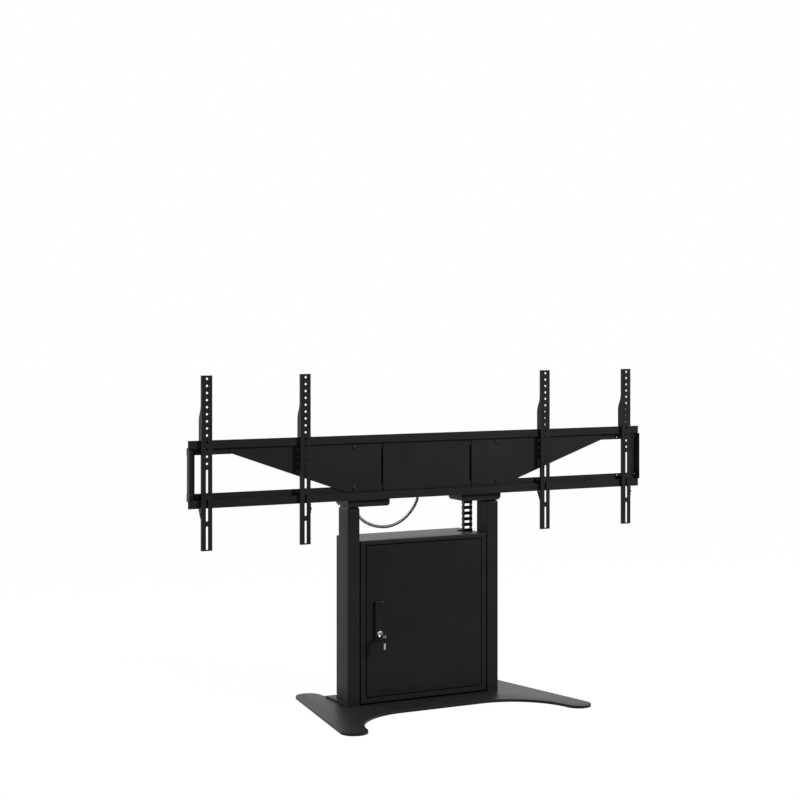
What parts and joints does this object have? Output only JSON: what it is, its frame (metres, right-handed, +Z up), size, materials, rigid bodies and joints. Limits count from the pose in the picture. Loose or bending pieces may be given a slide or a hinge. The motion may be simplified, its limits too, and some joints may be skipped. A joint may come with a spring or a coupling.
{
  "type": "tv lift mechanism",
  "caption": "Free-standing lift for a flat display: telescopic columns raise a beam with rails and hook-on display arms above a lockable cabinet on a foot plate.",
  "frame": {"origin": "on the floor, in the middle of the foot plate", "axes": "+Z up, +X to the right of a viewer in front, +Y to the back; the display arms' front faces lie in the plane Y = 0"},
  "size_m": [1.9328, 0.6919, 1.2488],
  "materials": {
    "powder_coat": "black powder coat, fine satin texture",
    "door_paint": "black powder coat, smooth satin",
    "dark_bolts": "black oxide",
    "steel": "plain turned steel",
    "zinc": "zinc plated",
    "chrome": "polished",
    "nylon": "black nylon",
    "lock_plastic": "black plastic",
    "bronze": "turned bronze",
    "jacket": "smooth black jacket",
    "cast_case": "as cast"
  },
  "bodies": {
    "base": {"base_plate": "powder_coat", "base_screws": "dark_bolts", "chassis_plate": "powder_coat", "column_tube_left": "powder_coat", "column_tube_right": "powder_coat", "column_collar_left": "nylon", "column_collar_right": "nylon", "nut_tubes": "zinc", "spindle_nuts": "bronze", "cabinet_front_frame": "powder_coat", "cabinet_side_left": "powder_coat", "cabinet_side_right": "powder_coat", "cabinet_back": "powder_coat", "cabinet_floor": "powder_coat", "cabinet_lid": "powder_coat", "cable_hole_trim": "nylon", "hinge_pins": "dark_bolts"},
    "door": {"door_panel": "door_paint", "lever_plate": "lock_plastic"},
    "handle": {"door_lever": "lock_plastic", "latch_cam": "zinc"},
    "lock": {"lock_cylinder": "chrome", "lock_key": "lock_plastic"},
    "keys": {"key_ring": "chrome", "spare_key": "lock_plastic"},
    "spindle_left": {"spindle_left": "steel"},
    "spindle_right": {"spindle_right": "steel"},
    "arm_1": {"display_arm_1": "powder_coat", "arm_lock_1": "powder_coat"},
    "arm_2": {"display_arm_2": "powder_coat", "arm_lock_2": "powder_coat"},
    "arm_3": {"display_arm_3": "powder_coat", "arm_lock_3": "powder_coat"},
    "arm_4": {"display_arm_4": "powder_coat", "arm_lock_4": "powder_coat"},
    "lift": {"beam_bolts": "dark_bolts", "beam_tray": "powder_coat", "cable_chain": "nylon", "cable_glands": "nylon", "centre_panel": "powder_coat", "chain_bracket": "powder_coat", "column_heads": "powder_coat", "control_box": "lock_plastic", "end_bracket_left": "powder_coat", "end_bracket_right": "powder_coat", "gearboxes": "cast_case", "inner_tube_left": "steel", "inner_tube_right": "steel", "left_wing": "powder_coat", "lower_rail": "powder_coat", "motor_cable": "jacket", "motor_housing_left": "powder_coat", "motor_housing_right": "powder_coat", "motors": "zinc", "power_inlet": "lock_plastic", "right_wing": "powder_coat", "tube_glides": "nylon", "upper_rail": "powder_coat"}
  },
  "joints": [
    {"name": "lift_slide", "type": "slide", "parent": "base", "child": "lift", "axis": [0, 0, 1], "range_m": [0, 0.5]},
    {"name": "spindle_left_turn", "type": "hinge", "parent": "lift", "child": "spindle_left", "pos_m": [-0.3, 0.081, 0.45], "axis": [0, 0, 1], "range_deg": [0, 18010]},
    {"name": "spindle_right_turn", "type": "hinge", "parent": "lift", "child": "spindle_right", "pos_m": [0.3, 0.081, 0.45], "axis": [0, 0, 1], "range_deg": [0, 18010]},
    {"name": "door_hinge", "type": "hinge", "parent": "base", "child": "door", "pos_m": [0.244, 0.0455, 0.32], "axis": [0, 0, 1], "range_deg": [0, 100]},
    {"name": "lever_turn", "type": "hinge", "parent": "door", "child": "handle", "pos_m": [-0.1975, 0.035, 0.372], "axis": [0, -1, 0], "range_deg": [0, 90]},
    {"name": "key_turn", "type": "hinge", "parent": "handle", "child": "lock", "pos_m": [-0.1975, 0.022, 0.2744], "axis": [0, -1, 0], "range_deg": [0, 90]},
    {"name": "key_ring_swing", "type": "hinge", "parent": "lock", "child": "keys", "pos_m": [-0.1975, -0.0107, 0.2744], "axis": [1, 0, 0], "range_deg": [-20, 20]},
    {"name": "arm_1_slide", "type": "slide", "parent": "lift", "child": "arm_1", "axis": [1, 0, 0], "range_m": [-0.04, 0.165]},
    {"name": "arm_2_slide", "type": "slide", "parent": "lift", "child": "arm_2", "axis": [1, 0, 0], "range_m": [-0.165, 0.48]},
    {"name": "arm_3_slide", "type": "slide", "parent": "lift", "child": "arm_3", "axis": [1, 0, 0], "range_m": [-0.48, 0.165]},
    {"name": "arm_4_slide", "type": "slide", "parent": "lift", "child": "arm_4", "axis": [1, 0, 0], "range_m": [-0.165, 0.04]}
  ],
  "couplings": [
    {"joint": "spindle_left_turn", "follows": "lift_slide", "rad_per_m": 628.32},
    {"joint": "spindle_right_turn", "follows": "lift_slide", "rad_per_m": 628.32}
  ]
}
